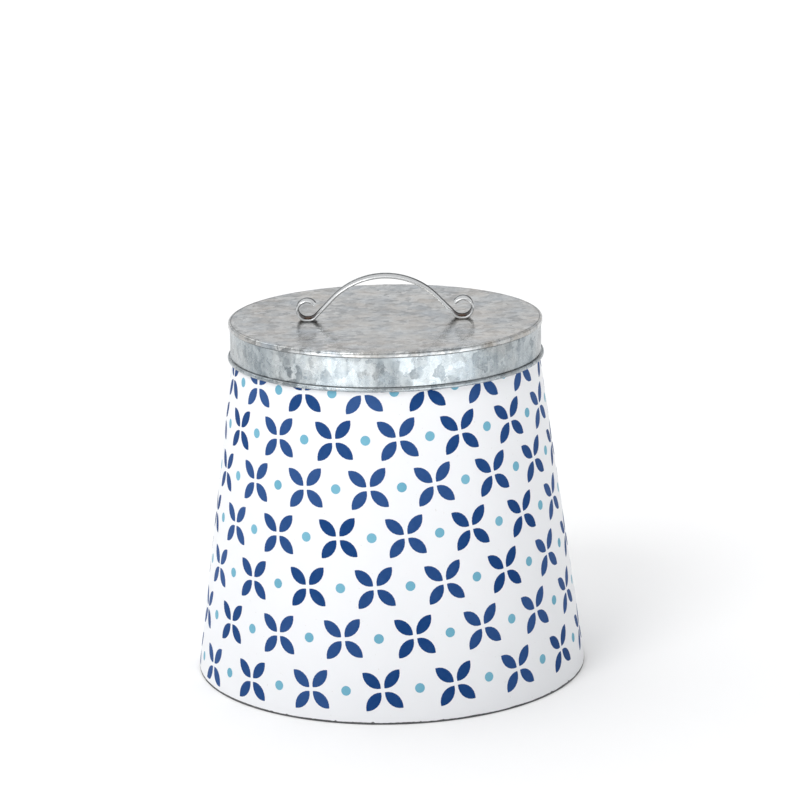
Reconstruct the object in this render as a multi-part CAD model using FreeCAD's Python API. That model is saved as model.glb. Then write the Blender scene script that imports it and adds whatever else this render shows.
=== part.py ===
import FreeCAD, Part
import math
import os

# Tapered sheet-metal canister that stands on a table, with a lift-off lid.
# Origin at the centre of the base ring on the table, +Z up, handle along X, seams at the back (+Y).

# ---- driving dimensions, mm ----
base_radius = 120.6            # outside of the wall at the table
wall_lean = 0.13635            # how much the wall's radius shrinks per mm of height
sheet = 0.5                    # thickness of every sheet piece
mouth_top = 218.8              # top of the rolled mouth edge
mouth_curl = 1.5               # outside radius of the rolled mouth edge
floor_height = 3.6             # underside of the recessed bottom
hem_leg = 3.6                  # height of the hem's inner leg
lap_degrees = 4.5              # width of the wall's lap seam, seen from above

lid_top_height = 219.6         # top of the lid's rim
lid_dish = 1.3                 # how far the lid's middle lies below its rim
lid_radius = 95.95             # outside of the lid's folded rim
rim_fold = 0.8                 # thickness of the folded rim outside the skirt
rim_drop = 3.0                 # height of the folded rim
rim_round = 1.1                # rounding of the lid's upper corner
skirt_radius = lid_radius - rim_fold
skirt_bead = 1.4               # outside radius of the rolled bead at the skirt's lower edge
skirt_bead_height = 197.3      # centre of the bead
skirt_bead_centre = 95.4       # radius of the circle that the bead follows
skirt_lap_degrees = 5.0

handle_height = 27.4           # top of the handle above its feet
strap_width = 12.5
strap_edge_radius = 0.7        # the two hemmed long edges
strap_web = 0.5                # thickness between the edges
scroll_radius = 5.8            # centre line of each end scroll
scroll_end_angle = 150.0       # where the scroll stops, from its centre, 90 being straight up
foot_inner = 46.5              # where the flat foot starts
foot_length = 1.2              # length of the flat foot
descent_angle = 46.0           # slope of the strap between arch and foot

rivet_radius = 1.5
rivet_head_radius = 2.7
rivet_head_height = 1.0

axis_origin = FreeCAD.Vector(0, 0, 0)
up = FreeCAD.Vector(0, 0, 1)
lean_cos = math.cos(math.atan(wall_lean))


def wall_radius(height, depth=0.0):
    """Radius of the leaning wall at a height, measured a depth in from its outer face."""
    return base_radius - wall_lean * height - depth / lean_cos


def turned(points):
    """Full turn about the vertical axis of a closed outline given as (radius, height) corners."""
    corners = [FreeCAD.Vector(r, 0, z) for r, z in points]
    face = Part.Face(Part.makePolygon(corners + [corners[0]]))
    return face.revolve(axis_origin, up, 360)


def part_turned(points, middle_degrees, width_degrees):
    """Part turn of an outline, centred on an azimuth (90 is the back)."""
    corners = [FreeCAD.Vector(r, 0, z) for r, z in points]
    face = Part.Face(Part.makePolygon(corners + [corners[0]]))
    piece = face.revolve(axis_origin, up, width_degrees)
    piece.rotate(axis_origin, up, middle_degrees - width_degrees / 2)
    return piece


def polar(centre_r, centre_z, radius, degrees):
    a = math.radians(degrees)
    return FreeCAD.Vector(centre_r + radius * math.cos(a), 0, centre_z + radius * math.sin(a))


def curl(centre_r, centre_z, radius, start, end):
    """Sheet rolled round a wire: a ring whose section runs from one angle to another."""
    middle = (start + end) / 2
    inside = radius - sheet
    outer = Part.Arc(*[polar(centre_r, centre_z, radius, a) for a in (start, middle, end)]).toShape()
    inner = Part.Arc(*[polar(centre_r, centre_z, inside, a) for a in (end, middle, start)]).toShape()
    close_end = Part.makeLine(outer.Vertexes[-1].Point, inner.Vertexes[0].Point)
    close_start = Part.makeLine(inner.Vertexes[-1].Point, outer.Vertexes[0].Point)
    face = Part.Face(Part.Wire([outer, close_end, inner, close_start]))
    return face.revolve(axis_origin, up, 360)


def ring_edges(shape, radius, height):
    """Circular edges of a shape at a radius and height."""
    return [e for e in shape.Edges
            if not e.Degenerated and isinstance(e.Curve, Part.Circle)
            and abs(e.Curve.Radius - radius) < 0.02 and abs(e.Curve.Center.z - height) < 0.02]


# ---- tin: side wall ----
# One rolled sheet: hem at the bottom, plain cone, edge rolled outward round a wire at the mouth.
mouth_curl_z = mouth_top - mouth_curl
mouth_curl_r = wall_radius(mouth_curl_z, sheet) + mouth_curl
hem_depth = 3 * sheet          # wall, bottom flange and hem leg side by side
cone = turned([
    (wall_radius(0), 0), (wall_radius(mouth_curl_z), mouth_curl_z),
    (wall_radius(mouth_curl_z, sheet), mouth_curl_z), (wall_radius(sheet, sheet), sheet),
    (wall_radius(sheet, 2 * sheet), sheet), (wall_radius(hem_leg, 2 * sheet), hem_leg),
    (wall_radius(hem_leg, hem_depth), hem_leg), (wall_radius(0, hem_depth), 0)])
cone = cone.makeFillet(0.4, ring_edges(cone, wall_radius(0), 0))
cone = cone.makeFillet(0.4, ring_edges(cone, wall_radius(0, hem_depth), 0))
lap_low, lap_high = floor_height + sheet + 0.2, mouth_top - 4.0
wall_lap = part_turned([
    (wall_radius(lap_low, sheet * 0.8), lap_low), (wall_radius(lap_high, sheet * 0.8), lap_high),
    (wall_radius(lap_high, sheet * 2), lap_high), (wall_radius(lap_low, sheet * 2), lap_low)],
    90, lap_degrees)
body_wall = cone.fuse([curl(mouth_curl_r, mouth_curl_z, mouth_curl, -150, 180), wall_lap]).removeSplitter()

# ---- tin: wire in the mouth edge ----
mouth_wire = Part.makeTorus(mouth_curl_r, mouth_curl - sheet, FreeCAD.Vector(0, 0, mouth_curl_z), up)

# ---- tin: recessed bottom, its flange held in the hem ----
floor_top = floor_height + sheet
base_disc = turned([
    (0, floor_height), (wall_radius(floor_height, 2 * sheet), floor_height),
    (wall_radius(sheet, 2 * sheet), sheet), (wall_radius(sheet, sheet), sheet),
    (wall_radius(floor_top, sheet), floor_top), (0, floor_top)])

# ---- lid: top disc, slightly dished, with its rim folded down over the skirt ----
rim_low = lid_top_height - rim_drop
lid_under = lid_top_height - sheet
dish_radius = skirt_radius - 2.0


def panel_height(radius):
    """Height of the lid's upper face inside its rim."""
    return lid_top_height - lid_dish * (1 - (radius / dish_radius) ** 2)


panel = [(r, panel_height(r)) for r in (20, 34, 44, 51, 64, 79, dish_radius)]
panel = [(0, panel_height(20))] + panel           # flat in the middle, then rising to the rim
panel_under = [(r, z - sheet) for r, z in panel]
lid_top = turned(panel_under + [
    (skirt_radius, lid_under), (skirt_radius, rim_low), (lid_radius, rim_low), (lid_radius, lid_top_height)]
    + panel[::-1])
lid_top = lid_top.makeFillet(rim_round, ring_edges(lid_top, lid_radius, lid_top_height))
lid_top = lid_top.makeFillet(0.3, ring_edges(lid_top, lid_radius, rim_low))

# ---- lid: skirt, edge rolled outward round a wire, lap seam outside at the back ----
skirt_inner = skirt_radius - sheet
band = turned([
    (skirt_inner, skirt_bead_height), (skirt_radius, skirt_bead_height),
    (skirt_radius, lid_under), (skirt_inner, lid_under)])
skirt_lap = part_turned([
    (skirt_radius - sheet * 0.5, skirt_bead_height + skirt_bead),
    (skirt_radius + sheet * 0.8, skirt_bead_height + skirt_bead),
    (skirt_radius + sheet * 0.8, rim_low - 0.2), (skirt_radius - sheet * 0.5, rim_low - 0.2)],
    90, skirt_lap_degrees)
roll_start = math.degrees(math.acos((skirt_inner + sheet / 2 - skirt_bead_centre) / skirt_bead))
bead = curl(skirt_bead_centre, skirt_bead_height, skirt_bead, roll_start, roll_start + 355)
bead_middle = FreeCAD.Vector(0, 0, skirt_bead_height)
lid_wire = Part.makeTorus(skirt_bead_centre, skirt_bead - sheet, bead_middle, up)
lid_skirt = band.fuse([bead, skirt_lap]).cut(lid_wire).removeSplitter()

# ---- lid: handle, one strap bent along a planar line and swept with a hemmed section ----
foot_plane = panel_height(foot_inner + foot_length / 2) + 0.03
line_low = foot_plane + strap_edge_radius          # centre line where the strap lies on the lid
scroll_z = line_low + scroll_radius
foot_outer = foot_inner + foot_length
slope = math.radians(descent_angle)
turn_x = foot_inner - scroll_radius * math.sin(slope)      # where the straight part meets the foot's bend
turn_z = scroll_z - scroll_radius * math.cos(slope)
top_z = foot_plane + handle_height - strap_edge_radius
arch_radius = ((turn_z + turn_x * math.tan(slope) - top_z)
               / (math.sin(slope) * math.tan(slope) - 1 + math.cos(slope)))
arch_x = arch_radius * math.sin(slope)
arch_z = top_z - arch_radius * (1 - math.cos(slope))


def scroll_point(side, degrees, centre=foot_outer):
    a = math.radians(degrees)
    return FreeCAD.Vector(side * (centre + scroll_radius * math.cos(a)), 0,
                          scroll_z + scroll_radius * math.sin(a))


def half_line(side):
    """Edges of one half of the handle's centre line, from the scroll's end to the arch."""
    low_angle = 270 - descent_angle
    scroll = Part.Arc(scroll_point(side, scroll_end_angle), scroll_point(side, 30),
                      scroll_point(side, -90)).toShape()
    foot = Part.makeLine(scroll_point(side, -90), scroll_point(side, 270, foot_inner))
    bend = Part.Arc(scroll_point(side, 270, foot_inner),
                    scroll_point(side, (270 + low_angle) / 2, foot_inner),
                    scroll_point(side, low_angle, foot_inner)).toShape()
    rise = Part.makeLine(FreeCAD.Vector(side * turn_x, 0, turn_z), FreeCAD.Vector(side * arch_x, 0, arch_z))
    return [scroll, foot, bend, rise]


arch = Part.Arc(FreeCAD.Vector(arch_x, 0, arch_z), FreeCAD.Vector(0, 0, top_z),
                FreeCAD.Vector(-arch_x, 0, arch_z)).toShape()
centre_line = Part.Wire(Part.__sortEdges__(half_line(1) + [arch] + half_line(-1)))

start = scroll_point(1, scroll_end_angle)
outward = FreeCAD.Vector(math.cos(math.radians(scroll_end_angle)), 0,
                         math.sin(math.radians(scroll_end_angle)))


def section_point(across, through):
    return start + FreeCAD.Vector(0, across, 0) + outward * through


web_half = strap_web / 2
edge_centre = strap_width / 2 - strap_edge_radius
web_end = edge_centre - math.sqrt(strap_edge_radius ** 2 - web_half ** 2)
section = Part.Wire([
    Part.makeLine(section_point(web_end, web_half), section_point(-web_end, web_half)),
    Part.Arc(section_point(-web_end, web_half), section_point(-strap_width / 2, 0),
             section_point(-web_end, -web_half)).toShape(),
    Part.makeLine(section_point(-web_end, -web_half), section_point(web_end, -web_half)),
    Part.Arc(section_point(web_end, -web_half), section_point(strap_width / 2, 0),
             section_point(web_end, web_half)).toShape()])
handle_strap = centre_line.makePipeShell([section], True, False)

# ---- lid: rivets through the handle's feet and the lid top ----
rivet_x = foot_inner + foot_length / 2
web_top = line_low + web_half
sheet_under = panel_height(rivet_x - rivet_head_radius) - sheet


def dome(radius, height, z, direction):
    """Low rounded rivet head on a plane at z, bulging up (1) or down (-1)."""
    rim = FreeCAD.Vector(radius, 0, z)
    top = FreeCAD.Vector(0, 0, z + direction * height)
    ball = (radius ** 2 + height ** 2) / (2 * height)
    half_angle = math.asin(radius / ball) / 2
    middle = FreeCAD.Vector(ball * math.sin(half_angle), 0,
                            z + direction * (height - ball * (1 - math.cos(half_angle))))
    outline = Part.Wire([Part.Arc(rim, middle, top).toShape(),
                         Part.makeLine(top, FreeCAD.Vector(0, 0, z)),
                         Part.makeLine(FreeCAD.Vector(0, 0, z), rim)])
    return Part.Face(outline).revolve(axis_origin, up, 360)


rivet_place = FreeCAD.Vector(-rivet_x, 0, 0)
shank = Part.makeCylinder(rivet_radius, web_top - sheet_under, rivet_place + up * sheet_under, up)
head = dome(rivet_head_radius, rivet_head_height, web_top, 1)
head.translate(rivet_place)
tail = dome(rivet_head_radius, rivet_head_height, sheet_under, -1)
tail.translate(rivet_place)
far_shank = shank.rotated(axis_origin, up, 180)
handle_strap = handle_strap.cut(shank).cut(far_shank)
lid_top = lid_top.cut(shank).cut(far_shank)
handle_rivet_left = shank.fuse([head, tail]).removeSplitter().cut(handle_strap)
handle_rivet_right = handle_rivet_left.rotated(axis_origin, up, 180)

# ---- write one file per piece ----
os.makedirs("parts", exist_ok=True)
nodes = {
    "body_wall": body_wall, "mouth_wire": mouth_wire, "base_disc": base_disc,
    "lid_top": lid_top, "lid_skirt": lid_skirt, "lid_wire": lid_wire,
    "handle_strap": handle_strap,
    "handle_rivet_left": handle_rivet_left, "handle_rivet_right": handle_rivet_right}
for name, shape in nodes.items():
    if len(shape.Solids) == 1:
        shape = shape.Solids[0]
    shape.exportStep("parts/" + name + ".step")
    box = shape.BoundBox
    print(name, "solids", len(shape.Solids), "valid", shape.isValid(), "cm3 %.2f" % (shape.Volume / 1000),
          "x %.2f %.2f y %.2f %.2f z %.2f %.2f" % (box.XMin, box.XMax, box.YMin, box.YMax, box.ZMin, box.ZMax))
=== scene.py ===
import math

import bmesh
import bpy
from mathutils import Matrix, Vector, noise


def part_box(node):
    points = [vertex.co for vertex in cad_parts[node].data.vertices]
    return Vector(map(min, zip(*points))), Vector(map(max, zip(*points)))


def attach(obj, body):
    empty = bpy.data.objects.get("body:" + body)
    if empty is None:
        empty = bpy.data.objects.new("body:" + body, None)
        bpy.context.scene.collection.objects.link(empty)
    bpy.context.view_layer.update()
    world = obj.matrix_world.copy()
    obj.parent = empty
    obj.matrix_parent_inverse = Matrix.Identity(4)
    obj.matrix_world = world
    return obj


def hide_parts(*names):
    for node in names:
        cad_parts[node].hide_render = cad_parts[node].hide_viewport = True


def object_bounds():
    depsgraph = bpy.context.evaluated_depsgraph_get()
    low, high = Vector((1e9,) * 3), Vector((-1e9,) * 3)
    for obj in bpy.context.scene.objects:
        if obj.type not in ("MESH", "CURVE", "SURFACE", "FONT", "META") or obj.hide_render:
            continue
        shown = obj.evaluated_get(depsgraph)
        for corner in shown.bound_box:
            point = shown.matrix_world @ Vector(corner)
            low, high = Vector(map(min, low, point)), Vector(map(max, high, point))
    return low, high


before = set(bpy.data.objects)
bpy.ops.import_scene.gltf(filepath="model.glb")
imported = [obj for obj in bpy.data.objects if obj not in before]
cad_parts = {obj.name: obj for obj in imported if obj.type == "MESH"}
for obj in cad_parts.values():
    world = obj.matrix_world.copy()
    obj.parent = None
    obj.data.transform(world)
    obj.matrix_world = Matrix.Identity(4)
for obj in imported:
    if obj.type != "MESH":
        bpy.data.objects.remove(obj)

cad_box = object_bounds()

# ------------------------------------------------------------------ side wall
# One sheet of thin galvanised steel rolled into a cone: hemmed at the bottom round the floor's flange,
# its upper edge curled outward round a wire, its two ends lapped and soldered at the back.
mm = 0.001
sheet = 0.5 * mm
wall_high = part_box("body_wall")[1]
base_radius = wall_high.x
mouth_top = wall_high.z
wall_lean = 0.13635
lean_angle = math.atan(wall_lean)
curl_radius = 1.5 * mm
seam_half_width = math.radians(2.25)


def wall_radius(height, depth=0.0):
    """Radius of the leaning wall at a height, a depth in from its outer face."""
    return base_radius - wall_lean * height - depth / math.cos(lean_angle)


def curled(centre_r, centre_z, start, end, steps, radius=curl_radius):
    """Section of a rolled edge, as points from one angle to another in degrees."""
    angles = [math.radians(start + (end - start) * i / steps) for i in range(steps + 1)]
    return [(centre_r + radius * math.cos(a), centre_z + radius * math.sin(a)) for a in angles]


def round_angles(count, extra=()):
    """Evenly spaced angles for one turn, 0 at the front and growing to the right, with extra ones let in."""
    return sorted([-math.pi + 2 * math.pi * i / count for i in range(count)] + list(extra))


def spun(name, outline, angles, moved=None):
    """Closed outline of (radius, height) corners turned about the upright axis. moved(radius, height,
    angle, corner number) may shift single points."""
    shape = bmesh.new()
    rings = []
    for number, (r, z) in enumerate(outline):
        ring = []
        for a in (angles if r > 1e-7 else [0.0]):
            rr, zz = moved(r, z, a, number) if moved else (r, z)
            ring.append(shape.verts.new((rr * math.sin(a), -rr * math.cos(a), zz)))
        rings.append(ring)
    for low, high in zip(rings, rings[1:] + rings[:1]):
        for i in range(len(angles)):
            j = (i + 1) % len(angles)
            corners = [low[i % len(low)], low[j % len(low)], high[j % len(high)], high[i % len(high)]]
            corners = [c for n, c in enumerate(corners) if c not in corners[:n]]
            if len(corners) > 2:
                shape.faces.new(corners)
    bmesh.ops.recalc_face_normals(shape, faces=shape.faces)
    mesh = bpy.data.meshes.new(name)
    shape.to_mesh(mesh)
    shape.free()
    return made(name, mesh)


def made(name, mesh, sharp=35):
    """A mesh as an object of the scene, shaded smooth except across sharp corners."""
    mesh.shade_smooth()
    mesh.set_sharp_from_angle(angle=math.radians(sharp))
    piece = bpy.data.objects.new(name, mesh)
    bpy.context.scene.collection.objects.link(piece)
    return piece


class Value:
    """An output of a node tree. Using it in a sum, product or comparison adds the Math node for it."""

    def __init__(self, tree, node, output):
        self.tree, self.node, self.socket = tree, node, node.outputs[output]

    def also(self, output):
        """Another output of the same node."""
        return Value(self.tree, self.node, output)

    def worked(self, operation, *others):
        """A Math node's operation on this value, then the others."""
        return self.tree.maths(operation, self, *others)

    def __add__(self, other): return self.tree.maths("ADD", self, other)
    def __radd__(self, other): return self.tree.maths("ADD", other, self)
    def __sub__(self, other): return self.tree.maths("SUBTRACT", self, other)
    def __rsub__(self, other): return self.tree.maths("SUBTRACT", other, self)
    def __mul__(self, other): return self.tree.maths("MULTIPLY", self, other)
    def __rmul__(self, other): return self.tree.maths("MULTIPLY", other, self)
    def __truediv__(self, other): return self.tree.maths("DIVIDE", self, other)
    def __rtruediv__(self, other): return self.tree.maths("DIVIDE", other, self)
    def __mod__(self, other): return self.tree.maths("FLOORED_MODULO", self, other)
    def __neg__(self): return self.tree.maths("MULTIPLY", self, -1.0)
    def __gt__(self, other): return self.tree.maths("GREATER_THAN", self, other)
    def __lt__(self, other): return self.tree.maths("LESS_THAN", self, other)

    def away(self, place):
        """Distance from a place, never negative."""
        return (self - place).worked("ABSOLUTE")

    def within(self, low, high):
        """0 below low, 1 above high, straight between."""
        return self.tree.add("ShaderNodeMapRange", {"clamp": True},
                             {"Value": self, "From Min": low, "From Max": high})


class Tree:
    """A node tree being built, for a finish or for a shape."""

    def __init__(self, tree):
        self.tree = tree

    def add(self, kind, settings=None, inputs=None, output=0):
        """Any node: its settings first, then what feeds its sockets. Returns one of its outputs."""
        node = self.tree.nodes.new(kind)
        for name, value in (settings or {}).items():
            if name == "stops":
                ramp = node.color_ramp.elements
                while len(ramp) < len(value):
                    ramp.new(0.5)
                for stop, (place, colour) in zip(ramp, value):
                    stop.position, stop.color = place, (*colour, 1.0)
            else:
                setattr(node, name, value)
        for key, value in (inputs or {}).items():
            for single in (value if isinstance(value, list) else [value]):
                if isinstance(single, Value):
                    self.tree.links.new(single.socket, node.inputs[key])
                else:
                    node.inputs[key].default_value = single
        return Value(self, node, output) if node.outputs else None

    def maths(self, operation, *terms):
        return self.add("ShaderNodeMath", {"operation": operation}, dict(enumerate(terms)))

    def vector(self, operation, *terms):
        """Vector Math. The number that SCALE takes sits on the node's fourth socket."""
        sockets = {3 if operation == "SCALE" and n == 1 else n: term for n, term in enumerate(terms)}
        return self.add("ShaderNodeVectorMath", {"operation": operation}, sockets)

    def blend(self, factor, first, second):
        """Colour that goes from first to second as factor goes from 0 to 1."""
        first, second = [(*c, 1.0) if isinstance(c, tuple) else c for c in (first, second)]
        return self.add("ShaderNodeMix", {"data_type": "RGBA", "blend_type": "MIX", "clamp_factor": True},
                        {0: factor, 6: first, 7: second}, output=2)

    def clouds(self, place, size, detail=2.0, rough=0.5, output=0, warp=0.0):
        """Cloudy noise whose blotches are about size across, in metres."""
        return self.add("ShaderNodeTexNoise", {}, {
            "Vector": place, "Scale": 0.5 / size, "Detail": detail, "Roughness": rough, "Distortion": warp},
            output)


def finish(name, build):
    """A material whose surface is made by build(tree), which returns the shader."""
    material = bpy.data.materials.new(name)
    material.use_nodes = True
    material.node_tree.nodes.clear()
    tree = Tree(material.node_tree)
    tree.add("ShaderNodeOutputMaterial", {}, {"Surface": build(tree)})
    return material


def galvanised(name, grain, dark, light, contrast, roughness, stain,
               metal=0.92, tilt=0.05, drawn=0.0, tint=0.0, painted_shade_lines=()):
    """Hot-dip zinc: crystals about grain across, each its own grey, with feathery edges and a faint stain.
    drawn adds upright streaks, tint warm and cool blotches.
    The last argument lists (across, at, half width, strength) of dark lines of painted shade in creases and
    under folds, across by "Z" or "Radius"."""
    middle_grey = (0.5, 0.5, 0.5)

    def build(tree):
        place = tree.add("ShaderNodeTexCoord", output="Object")
        ripple = tree.vector("SUBTRACT", tree.clouds(place, grain * 0.5, 3.0, 0.65, output=1), middle_grey)
        frayed = tree.vector("ADD", place, tree.vector("SCALE", ripple, grain * 1.3))
        crystal = tree.add("ShaderNodeTexVoronoi", {}, {"Vector": frayed, "Scale": 1 / grain}, output="Color")
        small = tree.add("ShaderNodeTexVoronoi", {}, {"Vector": frayed, "Scale": 2.6 / grain}, output="Color")
        large = tree.add("ShaderNodeSeparateColor", {}, {"Color": crystal})
        little = tree.add("ShaderNodeSeparateColor", {}, {"Color": small})
        frost = tree.clouds(frayed, grain * 0.12, 4.0, 0.6)
        broad = tree.clouds(place, grain * 5, 2.0)
        streaks = tree.clouds(tree.vector("MULTIPLY", place, (1.0, 1.0, 0.08)), 1.8 * mm, 3.0)
        tone = (0.5 + (large - 0.5) * (0.9 * contrast) + (little - 0.5) * (0.45 * contrast)
                + (frost - 0.5) * (1.1 * contrast) + (broad - 0.5) * (0.9 * contrast)
                + (streaks - 0.5) * drawn)
        colour = tree.blend(tone, dark, light)
        patches = tree.clouds(tree.vector("ADD", place, (0.3, 0.7, 0.2)), grain * 2.2, 3.0, 0.6)
        colour = tree.blend(patches.within(0.50, 0.68) * tint, colour, (0.52, 0.44, 0.36))
        colour = tree.blend((1.0 - patches.within(0.32, 0.48)) * tint, colour, (0.36, 0.43, 0.50))
        stained = tree.clouds(place, grain * 3.2, 4.0, 0.6, warp=0.6).within(0.52, 0.75) * stain
        colour = tree.blend(stained, colour, (0.36, 0.30, 0.22))
        spot = tree.add("ShaderNodeSeparateXYZ", {}, {"Vector": place})
        flat_spot = tree.add("ShaderNodeCombineXYZ", {}, {"X": spot, "Y": spot.also("Y")})
        across = {"Z": spot.also("Z"), "Radius": tree.vector("LENGTH", flat_spot).also("Value")}
        # Painted shade: near-black lines along creases and under folds, where shade falls; they also dull the
        # metal there.
        painted_crease_shade = stained * 0.0
        for kind, at, half_width, strength in painted_shade_lines:
            uneven = across[kind].away(at) + (frost - 0.5) * (half_width * 0.5)
            painted_crease_shade = painted_crease_shade + (1.0 - uneven.within(half_width * 0.45, half_width)) * strength
        colour = tree.blend(painted_crease_shade, colour, (0.035, 0.035, 0.038))
        lean = tree.vector("SCALE", tree.vector("SUBTRACT", crystal, middle_grey), tilt)
        normal = tree.add("ShaderNodeNewGeometry", output="Normal")
        facing = tree.vector("NORMALIZE", tree.vector("ADD", normal, lean))
        relief = tree.add("ShaderNodeBump", {}, {"Height": frost + little * 0.6, "Strength": 0.35,
                                                 "Distance": 0.02 * mm, "Normal": facing})
        return tree.add("ShaderNodeBsdfPrincipled", {}, {
            "Base Color": colour, "Metallic": metal - stained * 0.5 - painted_crease_shade * 0.4, "Normal": relief,
            "Roughness": roughness + (little - 0.5) * 0.12 + (frost - 0.5) * 0.1 + painted_crease_shade * 0.2})
    return finish(name, build)


mouth_z = mouth_top - curl_radius
mouth_r = wall_radius(mouth_z, sheet) + curl_radius
hem_leg, hem_round = 3.6 * mm, 0.4 * mm
outer_face = ([(wall_radius(0) - hem_round, 0.0), (wall_radius(0) - 0.3 * hem_round, 0.3 * hem_round)]
              + [(wall_radius(z), z) for z in [hem_round] + [i * mouth_z / 8 for i in range(1, 8)]])
inner_face = [(wall_radius(i * mouth_z / 8, sheet), i * mouth_z / 8) for i in (7.98, 6, 4, 2, 0.2)]
hem = [(wall_radius(sheet, sheet), sheet), (wall_radius(sheet, 2 * sheet), sheet),
       (wall_radius(hem_leg, 2 * sheet), hem_leg), (wall_radius(hem_leg, 3 * sheet), hem_leg),
       (wall_radius(hem_round, 3 * sheet), hem_round), (wall_radius(0, 3 * sheet) + hem_round, 0.0)]
wall_outline = outer_face + curled(mouth_r, mouth_z, 210, -180, 26)[:-1] + inner_face + hem
inner_first = len(wall_outline) - len(inner_face) - len(hem)


def lapped(r, z, angle, number):
    """The sheet's end lies double on the inside of the wall at the back, above the hem."""
    behind = abs(abs(angle) - math.pi) < seam_half_width
    if behind and inner_first <= number < inner_first + len(inner_face) and z > 5 * mm:
        r -= sheet
    return r, z


seam_sides = [s * (math.pi - seam_half_width + d) for s in (-1, 1) for d in (-0.0004, 0.0004)]
wall_sheet = spun("wall_sheet", wall_outline, round_angles(480, seam_sides), lapped)
# The near-black line at the foot of the wall is partly the hem's dirty bare steel and partly painted shade
# where the wall meets the table.
wall_zinc = galvanised("wall_zinc", 9 * mm, (0.42, 0.43, 0.44), (0.66, 0.67, 0.68), 0.7, 0.38, 0.20,
                       metal=0.65, painted_shade_lines=[("Z", 0.4 * mm, 2.6 * mm, 0.9)])
wall_sheet.data.materials.append(wall_zinc)
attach(wall_sheet, "canister")
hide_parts("body_wall")

# ------------------------------------------------------------------ white coat
# Thick white enamel on the outside of the wall, from just above the hem to just below the rolled edge.
# Its lower edge is rough and chipped, and the wall's bare steel shows below it.
coat_thickness = 0.11 * mm
coat_top = mouth_top - 4.2 * mm


def ragged_edge(angle):
    """Height of the coat's lower edge round the wall: uneven, with a few small chips."""
    around = Vector((math.sin(angle), -math.cos(angle), 0.0))
    edge = 1.25 * mm + 0.30 * mm * noise.noise(around * 9.0) + 0.16 * mm * noise.noise(around * 60.0)
    chips = max(0.0, noise.noise(around * 26.0 + Vector((3.0, 1.0, 7.0))) - 0.42)
    splinters = max(0.0, noise.noise(around * 90.0 + Vector((8.0, 2.0, 1.0))) - 0.5)
    return edge + 2.6 * mm * chips + 2.0 * mm * splinters


coat_rows = [0.0, 0.5 * mm, 2.5 * mm, 8 * mm] + [i * coat_top / 7 for i in range(1, 8)]
coat_outline = [(base_radius, z) for z in coat_rows + coat_rows[::-1]]
seam_groove, seam_groove_width = 0.09 * mm, 0.004
key_depth = 0.03 * mm


def coated(r, z, angle, number):
    """The coat's outer face, thinner in a groove at the seam and at its lower edge, and its inner face,
    which keys a little into the steel. Both start at the ragged edge."""
    low = ragged_edge(angle)
    height = low + z * (coat_top - low) / coat_top
    groove = seam_groove * math.exp(-((abs(angle) - math.pi) / seam_groove_width) ** 2)
    if number == 0:
        depth = -0.4 * coat_thickness
    elif number < len(coat_rows):
        depth = groove - coat_thickness
    else:
        depth = key_depth
    return wall_radius(height, depth), height


white_coat = spun("white_coat", coat_outline, round_angles(1440), coated)


def white_enamel(tree):
    place = tree.add("ShaderNodeTexCoord", output="Object")
    broad = tree.clouds(place, 60 * mm, 2.0)
    patchy = tree.clouds(place, 9 * mm, 3.0)
    peel = tree.clouds(place, 1.6 * mm, 2.0, 0.4)
    specks = tree.clouds(place, 0.8 * mm, 1.0).within(0.76, 0.80)
    colour = tree.blend(broad, (0.718, 0.726, 0.748), (0.748, 0.756, 0.770))
    colour = tree.blend(specks * 0.5, colour, (0.52, 0.50, 0.47))
    relief = tree.add("ShaderNodeBump", {}, {
        "Height": peel + patchy * 2.0, "Strength": 0.25, "Distance": 0.04 * mm})
    return tree.add("ShaderNodeBsdfPrincipled", {}, {
        "Base Color": colour, "Roughness": 0.36 + (patchy - 0.5) * 0.12, "Normal": relief})


white_coat.data.materials.append(finish("white_enamel_coat", white_enamel))
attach(white_coat, "canister")

# ------------------------------------------------------------------ printed pattern
# Blue flowers of four leaf-shaped petals, alternating with light blue dots in slightly tilted rows.
# Printed on the flat sheet before it was rolled, so the rows follow the cone and are cut at the back seam.
# Turns and the twist are in degrees, slants are measured along the wall from the tip of its cone.
pattern = {
    "Columns": 38, "Rows": 8, "First Row": -2.0,
    "First Turn": -7.4, "Pitch": 22.36, "Drift": 0.97, "Closing": 0.20,
    "First Slant": 723.3 * mm, "Row Pitch": 28.16 * mm, "Row Growth": 0.30 * mm,
    "Rise": 1.55 * mm, "Bow": 0.20 * mm, "Twist": 5.5,
    "Petal Length": 14.2 * mm, "Petal Width": 7.0 * mm, "Petal Centre": 8.68 * mm, "Dot Size": 5.9 * mm,
    "Ink Thickness": 0.03 * mm, "Lean": lean_angle, "Seed": 4,
    "Slant Length": base_radius / math.sin(lean_angle), "Coat": coat_thickness,
    "Lowest": 3.2 * mm, "Highest": coat_top - 1.0 * mm,
}


def ink(name, deep, soft):
    """Printing ink on the coat: its tone differs from flower to flower and it is faintly mottled."""
    def build(tree):
        place = tree.add("ShaderNodeTexCoord", output="Object")
        tone = tree.add("ShaderNodeAttribute", {"attribute_name": "tone"}, output="Fac")
        mottle = tree.clouds(place, 2.2 * mm, 4.0, 0.6)
        colour = tree.blend(tone + (mottle - 0.5) * 0.7, deep, soft)
        relief = tree.add("ShaderNodeBump", {}, {"Height": tree.clouds(place, 1.6 * mm, 2.0, 0.4),
                                                 "Strength": 0.2, "Distance": 0.03 * mm})
        return tree.add("ShaderNodeBsdfPrincipled", {}, {
            "Base Color": colour, "Roughness": 0.55 + (mottle - 0.5) * 0.2, "Normal": relief,
            "Specular IOR Level": 0.05})
    return finish(name, build)


petal_ink = ink("petal_ink", (0.007, 0.043, 0.160), (0.030, 0.078, 0.222))
dot_ink = ink("dot_ink", (0.130, 0.345, 0.460), (0.172, 0.400, 0.515))

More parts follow.
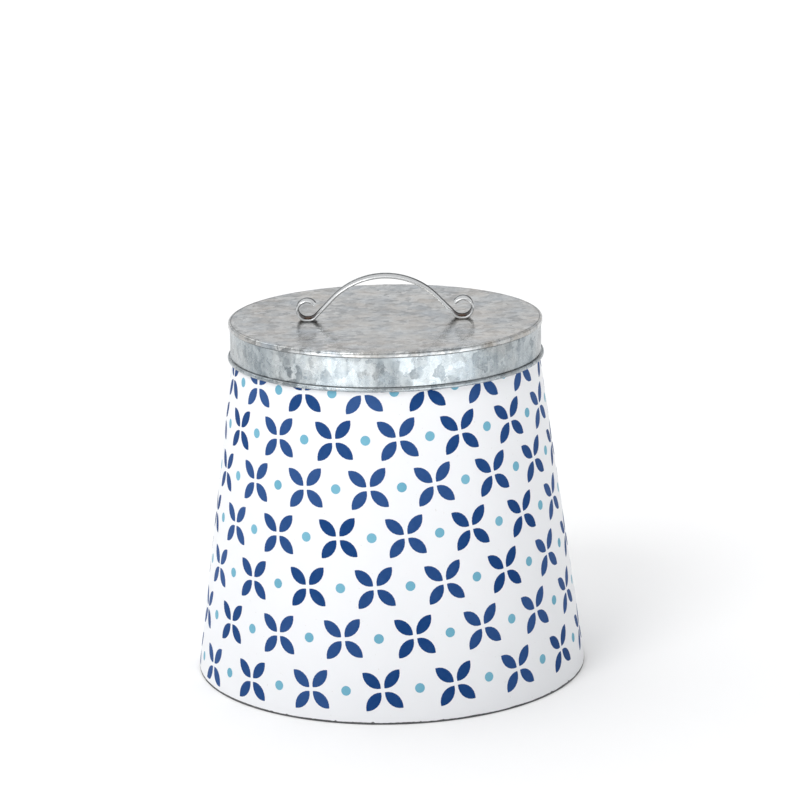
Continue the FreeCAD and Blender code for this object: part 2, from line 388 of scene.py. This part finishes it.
print_tree = bpy.data.node_groups.new("printed_pattern", "GeometryNodeTree")
print_sockets = {}
for socket_name, value in pattern.items():
    whole = isinstance(value, int)
    socket = print_tree.interface.new_socket(
        socket_name, in_out="INPUT", socket_type="NodeSocketInt" if whole else "NodeSocketFloat")
    print_sockets[socket_name] = socket.identifier
for socket_name in ("Petal Ink", "Dot Ink"):
    socket = print_tree.interface.new_socket(socket_name, in_out="INPUT", socket_type="NodeSocketMaterial")
    print_sockets[socket_name] = socket.identifier
print_tree.interface.new_socket("Geometry", in_out="OUTPUT", socket_type="NodeSocketGeometry")
tree = Tree(print_tree)
given = tree.add("NodeGroupInput")
size = {name: given.also(name) for name in print_sockets}
degree = math.pi / 180
lean_sine, lean_cosine = size["Lean"].worked("SINE"), size["Lean"].worked("COSINE")

# a point for each place in the pattern, laid out on the flat sheet
number = tree.add("GeometryNodeInputIndex")
row = (number / size["Columns"]).worked("FLOOR") + size["First Row"]
column = (number % size["Columns"] - size["Columns"] * 0.5) * 0.5
turn = size["First Turn"] + size["Drift"] * row + column * (size["Pitch"] - size["Closing"] * row)
slant = (size["First Slant"] + size["Row Pitch"] * row + size["Row Growth"] * row * row
         - size["Rise"] * column + size["Bow"] * column * column)
flat_turn = turn * degree * lean_sine
flat_place = tree.add("ShaderNodeCombineXYZ", {}, {
    "X": slant * flat_turn.worked("SINE"), "Y": -slant * flat_turn.worked("COSINE")})
spots = tree.add("GeometryNodePoints", {}, {"Count": size["Columns"] * size["Rows"], "Position": flat_place})
spots = tree.add("GeometryNodeStoreNamedAttribute", {"data_type": "FLOAT", "domain": "POINT"}, {
    "Geometry": spots, "Name": "tone",
    "Value": tree.add("FunctionNodeRandomValue", {"data_type": "FLOAT"}, {
        "Min": 0.0, "Max": 1.0, "Seed": size["Seed"]}, output=1)})


def slab(face):
    """A flat face given the ink's thickness, closed all round."""
    raised = tree.add("GeometryNodeExtrudeMesh", {"mode": "FACES"}, {
        "Mesh": face, "Offset": (0.0, 0.0, 1.0), "Offset Scale": size["Ink Thickness"] * 2.0,
        "Individual": False})
    under = tree.add("GeometryNodeFlipFaces", {}, {"Mesh": face})
    both = tree.add("GeometryNodeJoinGeometry", {}, {"Geometry": [raised, under]})
    return tree.add("GeometryNodeMergeByDistance", {}, {"Geometry": both, "Distance": 0.002 * mm})


# one petal: the shape shared by two circles
lattice = tree.add("GeometryNodeMeshGrid", {}, {
    "Size X": 2.0, "Size Y": 2.0, "Vertices X": 10, "Vertices Y": 3})
split = tree.add("ShaderNodeSeparateXYZ", {}, {"Vector": tree.add("GeometryNodeInputPosition")})
half_long, half_broad = size["Petal Length"] * 0.5, size["Petal Width"] * 0.5
side_radius = (half_long * half_long + half_broad * half_broad) / size["Petal Width"]
along = (split * (math.pi / 2)).worked("SINE") * half_long
bulge = side_radius * side_radius - along * along
half_wide = bulge.worked("MAXIMUM", 0.0).worked("SQRT") - (side_radius - half_broad)
petal = slab(tree.add("GeometryNodeSetPosition", {}, {"Geometry": lattice, "Position": tree.add(
    "ShaderNodeCombineXYZ", {}, {"X": along + size["Petal Centre"], "Y": split.also("Y") * half_wide})}))
petals = tree.add("GeometryNodeJoinGeometry", {}, {"Geometry": [
    tree.add("GeometryNodeTransform", {}, {"Geometry": petal, "Rotation": (0.0, 0.0, math.radians(angle))})
    for angle in (45, 135, 225, 315)]})
dot = slab(tree.add("GeometryNodeMeshCircle", {"fill_type": "TRIANGLE_FAN"}, {
    "Vertices": 20, "Radius": size["Dot Size"] * 0.5}))

# flowers and dots in turn on those points, as far as a little past the seam and the coat's edges
upright = tree.add("ShaderNodeCombineXYZ", {}, {"Z": flat_turn + size["Twist"] * degree})
flower_here = ((column * 2.0 + row) % 2.0) > 0.5
farthest_turn, spare = 187.0, 12 * mm
longest = size["Slant Length"] - size["Lowest"] / lean_cosine
shortest = size["Slant Length"] - size["Highest"] / lean_cosine
spots = tree.add("GeometryNodeStoreNamedAttribute", {"data_type": "FLOAT", "domain": "POINT"}, {
    "Geometry": spots, "Name": "dotted", "Value": 1.0 - flower_here})
on_sheet = ((turn.worked("ABSOLUTE") < farthest_turn) * (slant < longest + spare)
            * (slant > shortest - spare))
flower_stretch, dot_stretch = (0.985, 1.035, 1.0), (1.0, 1.0, 1.0)
printed = []
for shape, here, stretch in ((petals, flower_here, flower_stretch), (dot, 1.0 - flower_here, dot_stretch)):
    printed.append(tree.add("GeometryNodeInstanceOnPoints", {}, {
        "Points": spots, "Selection": here * on_sheet, "Instance": shape, "Rotation": upright,
        "Scale": stretch}))
flat_print = tree.add("GeometryNodeRealizeInstances", {}, {
    "Geometry": tree.add("GeometryNodeJoinGeometry", {}, {"Geometry": printed})})

# rolled up: every point goes from the flat sheet to the cone, those past a cut edge to that edge
flat = tree.add("ShaderNodeSeparateXYZ", {}, {"Vector": tree.add("GeometryNodeInputPosition")})
across, down, raised = flat, flat.also("Y"), flat.also("Z") - size["Ink Thickness"]
cut_turn = math.pi - 0.002
length = (across * across + down * down).worked("SQRT")
length = length.worked("MAXIMUM", shortest).worked("MINIMUM", longest)
around = across.worked("ARCTAN2", -down) / lean_sine
around = around.worked("MAXIMUM", -cut_turn).worked("MINIMUM", cut_turn)
out = size["Coat"] + raised
radius = length * lean_sine + out * lean_cosine
height = (size["Slant Length"] - length) * lean_cosine + out * lean_sine
rolled = tree.add("GeometryNodeSetPosition", {}, {"Geometry": flat_print, "Position": tree.add(
    "ShaderNodeCombineXYZ", {}, {
        "X": radius * around.worked("SINE"), "Y": -radius * around.worked("COSINE"), "Z": height})})
rolled = tree.add("GeometryNodeMergeByDistance", {}, {"Geometry": rolled, "Distance": 0.004 * mm})
dotted = tree.add("GeometryNodeInputNamedAttribute", {"data_type": "FLOAT"}, {"Name": "dotted"})
rolled = tree.add("GeometryNodeRealizeInstances", {}, {"Geometry": rolled})
rolled = tree.add("GeometryNodeSetMaterial", {}, {"Geometry": rolled, "Material": size["Petal Ink"]})
rolled = tree.add("GeometryNodeSetMaterial", {}, {
    "Geometry": rolled, "Selection": dotted > 0.5, "Material": size["Dot Ink"]})
tree.add("NodeGroupOutput", {}, {"Geometry": rolled})

print_holder = made("print_holder", bpy.data.meshes.new("print_holder"))
print_holder.data.materials.append(petal_ink)
press = print_holder.modifiers.new("printed_pattern", "NODES")
press.node_group = print_tree
for socket_name, value in {**pattern, "Petal Ink": petal_ink, "Dot Ink": dot_ink}.items():
    press[print_sockets[socket_name]] = value
bpy.context.view_layer.update()
evaluated = print_holder.evaluated_get(bpy.context.evaluated_depsgraph_get())
printed_pattern = made("printed_pattern", bpy.data.meshes.new_from_object(evaluated), sharp=60)
bpy.data.objects.remove(print_holder)
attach(printed_pattern, "canister")

# ------------------------------------------------------------------ floor of the tin and the two wires
# The bottom disc is plain galvanised sheet, its flange caught in the wall's hem. The wires lie hidden
# inside the rolled edges of the mouth and of the lid.
floor_zinc = galvanised("floor_zinc", 9 * mm, (0.42, 0.43, 0.44), (0.66, 0.67, 0.68), 0.7, 0.38, 0.25,
                        metal=0.65)
drawn_wire = finish("drawn_wire", lambda tree: tree.add("ShaderNodeBsdfPrincipled", {}, {
    "Base Color": tree.blend(tree.clouds(tree.add("ShaderNodeTexCoord", output="Object"), 3 * mm, 3.0),
                             (0.30, 0.30, 0.30), (0.48, 0.48, 0.47)),
    "Metallic": 1.0, "Roughness": 0.4}))
for node, material in (("base_disc", floor_zinc), ("mouth_wire", drawn_wire), ("lid_wire", drawn_wire)):
    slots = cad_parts[node].data.materials
    slots.clear()
    slots.append(material)

# ------------------------------------------------------------------ lid top
# Galvanised disc, its rim folded down tight over the skirt. The sheet isn't quite flat: it was pressed
# and riveted, so it catches the light unevenly.
disc_low, disc_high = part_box("lid_top")
lid_radius, lid_height, rim_low = disc_high.x, disc_high.z, disc_low.z
rim_round, rim_fold = 1.1 * mm, 0.8 * mm
skirt_radius = lid_radius - rim_fold
dish_radius, dish_depth = skirt_radius - 2.0 * mm, 1.3 * mm
foot_x = 47.1 * mm


def panel_height(r):
    """Height of the slightly dished panel inside the rim."""
    return lid_height - dish_depth * max(0.0, 1 - (r / dish_radius) ** 2)


rings = [dish_radius * (i / 54) ** 0.9 for i in range(1, 55)]
groove = [(lid_radius - back * mm, lid_height - deep * mm)
          for back, deep in ((2.3, 0.02), (1.95, 0.13), (1.65, 0.24), (1.38, 0.16), (1.1, 0.0))]
corner = curled(lid_radius - rim_round, lid_height - rim_round, 90, 0, 8, rim_round)
lip_round = 0.35 * mm
lip = curled(lid_radius - lip_round, rim_low + lip_round, 0, -120, 5, lip_round)
disc_outline = ([(0.0, panel_height(0.0))] + [(r, panel_height(r)) for r in rings] + groove + corner[1:] + lip
                + [(skirt_radius + 0.08 * mm, rim_low + 0.6 * mm), (skirt_radius, lid_height - sheet)]
                + [(r, panel_height(r) - sheet) for r in reversed(rings[::2])]
                + [(0.0, panel_height(0.0) - sheet)])


def pressed(r, z, angle, number):
    """Slow waves in the sheet, none at the rim or at the handle's feet."""
    if number > len(rings) or r > dish_radius - 0.2 * mm:
        return r, z
    x, y = r * math.sin(angle), -r * math.cos(angle)
    to_foot = min(math.hypot(x - foot_x, y), math.hypot(x + foot_x, y))
    calm = min(1.0, (dish_radius - r) / (12 * mm)) * min(1.0, max(0.0, to_foot - 8 * mm) / (14 * mm))
    wave = noise.noise(Vector((x, y, 0.013)) * 26.0) + 0.35 * noise.noise(Vector((x, y, 0.4)) * 75.0)
    return r, z + (0.22 * wave - 0.05) * mm * calm


lid_disc = spun("lid_disc", disc_outline, round_angles(360), pressed)
# The dark lines in the groove inside the rim and under the rim's folded edge are painted shade.
lid_zinc = galvanised("lid_zinc", 4.4 * mm, (0.165, 0.175, 0.18), (0.56, 0.57, 0.565), 0.78, 0.18, 0.30,
                      tilt=0.03, drawn=0.85, tint=0.36,
                      painted_shade_lines=[("Radius", lid_radius - 1.65 * mm, 0.42 * mm, 0.75),
                               ("Z", rim_low, 0.30 * mm, 0.8)])
lid_disc.data.materials.append(lid_zinc)
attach(lid_disc, "lid")
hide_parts("lid_top")

# ------------------------------------------------------------------ lid skirt
# Galvanised band inside the folded rim, lapped and soldered at the back, its lower edge rolled outward
# into a bead. Large bright zinc crystals, and slightly dented.
skirt_low, skirt_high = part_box("lid_skirt")
skirt_bead = 1.4 * mm
skirt_inner = skirt_radius - sheet
bead_z = skirt_low.z + skirt_bead
bead_r = skirt_high.x - skirt_bead
bead_top = bead_z + 1.3 * mm
bead = curled(bead_r, bead_z, 138, 430, 30, skirt_bead)
skirt_top = lid_height - sheet
skirt_rows = ([bead_z + 0.95 * mm, bead_top]
              + [bead_top + 0.3 * mm + i * (rim_low - bead_top - 0.3 * mm) / 6 for i in range(7)])
skirt_outline = ([(skirt_inner, skirt_top), (skirt_inner, bead_z + 1.2 * mm)] + bead
                 + [(bead_r + 0.3 * mm, bead_z + 0.85 * mm)]
                 + [(skirt_radius, z) for z in skirt_rows] + [(skirt_radius, skirt_top)])
skirt_lap_half, lap_rise = math.radians(2.5), 0.4 * mm


def dented(r, z, angle, number):
    """Small hollows round the band, and the doubled sheet of the lap at the back."""
    if abs(r - skirt_radius) < 0.1 * mm and bead_top + 0.2 * mm < z < rim_low - 0.1 * mm:
        x, y = math.sin(angle), math.cos(angle)
        middle = math.sin(math.pi * (z - bead_z) / (rim_low - bead_z))
        r += (0.16 * noise.noise(Vector((x * 6.0, y * 6.0, z * 60.0)))
              + 0.07 * noise.noise(Vector((x * 22.0, y * 22.0, z * 200.0))) - 0.05) * mm * middle
        if abs(abs(angle) - math.pi) < skirt_lap_half:
            r = skirt_radius + lap_rise
    return r, z


lap_sides = [s * (math.pi - skirt_lap_half + d) for s in (-1, 1) for d in (-0.0004, 0.0004)]
lid_band = spun("lid_band", skirt_outline, round_angles(480, lap_sides), dented)
# The dark lines just above the bead and under the lid's folded rim are painted shade.
band_zinc = galvanised("band_zinc", 6.5 * mm, (0.180, 0.213, 0.235), (0.49, 0.530, 0.545), 0.62, 0.29, 0.08,
                       tilt=0.15, drawn=0.8, tint=0.15,
                       painted_shade_lines=[("Z", bead_top + 0.1 * mm, 0.45 * mm, 0.45), ("Z", rim_low, 0.6 * mm, 0.7)])
lid_band.data.materials.append(band_zinc)
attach(lid_band, "lid")
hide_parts("lid_skirt")

# ------------------------------------------------------------------ handle
# One strap of bright zinc-plated steel: both long edges hemmed round, an arch in the middle, each end bent
# Near the feet it is tinted brown by heat and darkened further by painted shade and a painted dark
# reflection; the web between the hems and a line along each hem are darkened by painted shade.
strap_low, strap_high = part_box("handle_strap")
strap_width = strap_high.y - strap_low.y
edge_radius = 0.7 * mm
web_half = 0.24 * mm
scroll_radius = 5.8 * mm
foot_length = 1.2 * mm
foot_inner = foot_x - foot_length / 2
descent = 46.0
slope = math.radians(descent)
scroll_z = strap_low.z + edge_radius + scroll_radius
top_z = strap_high.z - edge_radius
turn_x = foot_inner - scroll_radius * math.sin(slope)
turn_z = scroll_z - scroll_radius * math.cos(slope)
arch_radius = ((turn_z + turn_x * math.tan(slope) - top_z)
               / (math.sin(slope) * math.tan(slope) - 1 + math.cos(slope)))


def arc_line(centre_x, centre_z, radius, start, end, step):
    """Points and outward directions along an arc, angles in degrees."""
    count = max(2, int(abs(end - start) / step))
    angles = [math.radians(start + (end - start) * i / count) for i in range(count + 1)]
    return [((centre_x + radius * math.cos(a), centre_z + radius * math.sin(a)), (math.cos(a), math.sin(a)))
            for a in angles]


half = arc_line(foot_inner + foot_length, scroll_z, scroll_radius, 150, -90, 4.0)
half += arc_line(foot_inner, scroll_z, scroll_radius, -90, -90 - descent, 4.0)
half += arc_line(0.0, top_z - arch_radius, -arch_radius, 270 - descent, 270, 1.5)
strap_line = half + [((-x, z), (-nx, nz)) for (x, z), (nx, nz) in reversed(half[:-1])]

# across the strap: a round hem at each edge, open by 20 degrees each way where the flat web joins them
section = [(side * (strap_width / 2 - edge_radius) + edge_radius * math.cos(math.radians(a + turned)),
            edge_radius * math.sin(math.radians(a + turned)))
           for side, turned in ((1, 0), (-1, -180)) for a in range(160, -161, -32)]
strap_shape = bmesh.new()
loops = []
for count, ((x, z), (nx, nz)) in enumerate(strap_line):
    loop = []
    for across, through in section:
        worn = 1.0 + 0.012 * noise.noise(Vector((count * 0.11, across * 150, through * 900)))
        y = min(max(across * worn, strap_low.y), strap_high.y)
        loop.append(strap_shape.verts.new((x + nx * through, y, z + nz * through)))
    loops.append(loop)
for first, second in zip(loops, loops[1:]):
    for i in range(len(section)):
        j = (i + 1) % len(section)
        strap_shape.faces.new((first[i], first[j], second[j], second[i]))
strap_shape.faces.new(loops[0])
strap_shape.faces.new(loops[-1])
bmesh.ops.recalc_face_normals(strap_shape, faces=strap_shape.faces)
strap_mesh = bpy.data.meshes.new("strap_handle")
strap_shape.to_mesh(strap_mesh)
strap_shape.free()
strap_handle = made("strap_handle", strap_mesh, sharp=50)


def strap_zinc(tree):
    place = tree.add("ShaderNodeTexCoord", output="Object")
    spot = tree.add("ShaderNodeSeparateXYZ", {}, {"Vector": place})
    above = spot.also("Z") - strap_low.z
    grime = tree.clouds(place, 2.5 * mm, 4.0, 0.65)
    fine = tree.clouds(place, 0.5 * mm, 3.0)
    from_middle = spot.also("Y").away(0.0)
    # Painted shade: the web between the hems is darkened, and a near-black line runs along each hem.
    painted_web_shade = 1.0 - from_middle.within(4.5 * mm, 5.0 * mm)
    painted_hem_line_shade = 1.0 - from_middle.away(4.7 * mm).within(0.3 * mm, 0.9 * mm)
    # Near the feet: a brown heat tint, and in the web a strong painted shade and painted dark reflection.
    heat_tint_and_shade = 1.0 - (above + (grime - 0.5) * (2.5 * mm)).within(2.6 * mm, 5.6 * mm)
    colour = tree.blend(grime, (0.60, 0.61, 0.62), (0.80, 0.81, 0.81))
    colour = tree.blend(painted_web_shade * (0.20 + grime * 0.4), colour, (0.30, 0.32, 0.325))
    colour = tree.blend(painted_hem_line_shade * (0.70 + fine * 0.4), colour, (0.045, 0.050, 0.052))
    colour = tree.blend(heat_tint_and_shade * (0.08 + painted_web_shade * 0.95), colour, (0.026, 0.013, 0.009))
    relief = tree.add("ShaderNodeBump", {}, {
        "Height": grime * 2.0 + fine, "Strength": 0.3, "Distance": 0.03 * mm})
    return tree.add("ShaderNodeBsdfPrincipled", {}, {
        "Base Color": colour, "Metallic": 1.0 - heat_tint_and_shade * painted_web_shade * 0.15,
        "Roughness": 0.16 + grime * 0.12 + heat_tint_and_shade * 0.25, "Normal": relief})


strap_handle.data.materials.append(finish("strap_zinc", strap_zinc))
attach(strap_handle, "lid")
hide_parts("handle_strap")

# ------------------------------------------------------------------ rivets
# A steel rivet through each foot of the handle and the lid's sheet. The heads are low and brown with rust,
# the tails under the lid are hammered flat.
rivet_head_radius, rivet_head_height, rivet_shank = 2.7 * mm, 1.0 * mm, 1.5 * mm


def rivet_rust(tree):
    place = tree.add("ShaderNodeTexCoord", output="Object")
    crust = tree.clouds(place, 1.2 * mm, 5.0, 0.7)
    browns = [(0.30, (0.030, 0.015, 0.010)), (0.55, (0.10, 0.050, 0.030)), (0.75, (0.30, 0.20, 0.15))]
    colour = tree.add("ShaderNodeValToRGB", {"stops": browns}, {"Fac": crust})
    relief = tree.add("ShaderNodeBump", {}, {"Height": crust, "Strength": 0.6, "Distance": 0.12 * mm})
    return tree.add("ShaderNodeBsdfPrincipled", {}, {
        "Base Color": colour, "Metallic": 0.35, "Roughness": 0.45 + crust * 0.3, "Normal": relief})


rivet_brown = finish("rivet_rust", rivet_rust)
web_top = strap_low.z + edge_radius + web_half
panel_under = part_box("handle_rivet_left")[0].z + rivet_head_height
quarter = [math.radians(a) for a in range(0, 91, 15)]
head = [(rivet_head_radius * math.sin(a), web_top + rivet_head_height * math.cos(a)) for a in quarter]
tail = [(rivet_head_radius * math.sin(a), panel_under - rivet_head_height * 0.9 * math.cos(a))
        for a in reversed(quarter)]
rivet_outline = head + [(rivet_shank, web_top), (rivet_shank, panel_under)] + tail
for node, side in (("handle_rivet_left", -1), ("handle_rivet_right", 1)):
    def hammered(r, z, angle, number):
        """Head and tail knocked a little out of round, each rivet in its own way."""
        x, y = r * math.sin(angle), -r * math.cos(angle)
        knock = 1.0 + 0.10 * noise.noise(Vector((x * 700 + side * 5, y * 700, z * 300)))
        return (r * knock if r > rivet_shank * 1.01 else r), z

    rivet = spun(node.replace("handle_", ""), rivet_outline, round_angles(40), hammered)
    rivet.data.transform(Matrix.Translation((side * foot_x, 0.0, 0.0)))
    rivet.data.materials.append(rivet_brown)
    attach(rivet, "lid")
    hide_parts(node)

# ------------------------------------------------------------------ table, light and camera
# White table top in a white room, a broad sun from the front left, soft light from above, two pools of
# light on the table in front, a long lens.
reach = 40.0
table_top = bpy.data.meshes.new("table")
table_top.from_pydata([(-reach, -reach, 0), (reach, -reach, 0), (reach, reach, 0), (-reach, reach, 0)], [],
                      [(0, 1, 2, 3)])
table = bpy.data.objects.new("table", table_top)
table.location.z = cad_box[0].z - 0.05 * mm
bpy.context.scene.collection.objects.link(table)
table.data.materials.append(finish("table_white", lambda tree: tree.add("ShaderNodeBsdfPrincipled", {}, {
    "Base Color": (0.855, 0.855, 0.855, 1.0), "Roughness": 0.9, "Specular IOR Level": 0.1})))


def lit(name, kind, place, aim, strength, **settings):
    """A lamp that shines from a place towards an aim and is not itself seen."""
    lamp = bpy.data.lights.new(name, kind)
    lamp.energy = strength
    for setting, value in settings.items():
        setattr(lamp, setting, value)
    holder = bpy.data.objects.new(name, lamp)
    holder.location = place
    holder.rotation_euler = (Vector(aim) - Vector(place)).to_track_quat("-Z", "Y").to_euler()
    holder.visible_camera = False
    bpy.context.scene.collection.objects.link(holder)


lit("front_left_sun", "SUN", (-0.6, -0.8, 0.9), (0, 0, 0), 1.0, angle=math.radians(26))
lit("ceiling", "SUN", (-0.25, 0.25, 1.0), (0, 0, 0), 1.55, angle=math.radians(90))
for name, side in (("pool_left", -1), ("pool_right", 1)):
    lit(name, "SPOT", (side * 0.52, -0.85, 0.8), (side * 0.50, -0.72, 0.0), 78.0,
        spot_size=math.radians(66), spot_blend=0.5, shadow_soft_size=0.05)

world = bpy.data.worlds.new("white_room")
world.use_nodes = True
world.node_tree.nodes.clear()
room = Tree(world.node_tree)
sky = room.add("ShaderNodeSeparateXYZ", {}, {"Vector": room.add("ShaderNodeTexCoord", output="Generated")})
room.add("ShaderNodeOutputWorld", {}, {"Surface": room.add("ShaderNodeBackground", {}, {
    "Color": (0.985, 0.99, 1.0, 1.0), "Strength": 0.86 - sky.also("Z").within(0.26, 1.0) * 0.52})})
bpy.context.scene.world = world
bpy.context.scene.view_settings.view_transform = "Standard"

lens = bpy.data.cameras.new("camera")
lens.lens, lens.sensor_width, lens.clip_end = 136.1, 36.0, 50.0
camera = bpy.data.objects.new("camera", lens)
tilt, roll = 14.21, -1.091
camera.location = (0.0081, -1.8035, 0.6237)
camera.rotation_euler = (Matrix.Rotation(math.radians(90 - tilt), 3, "X")
                         @ Matrix.Rotation(math.radians(roll), 3, "Z")).to_euler()
bpy.context.scene.collection.objects.link(camera)
bpy.context.scene.camera = camera
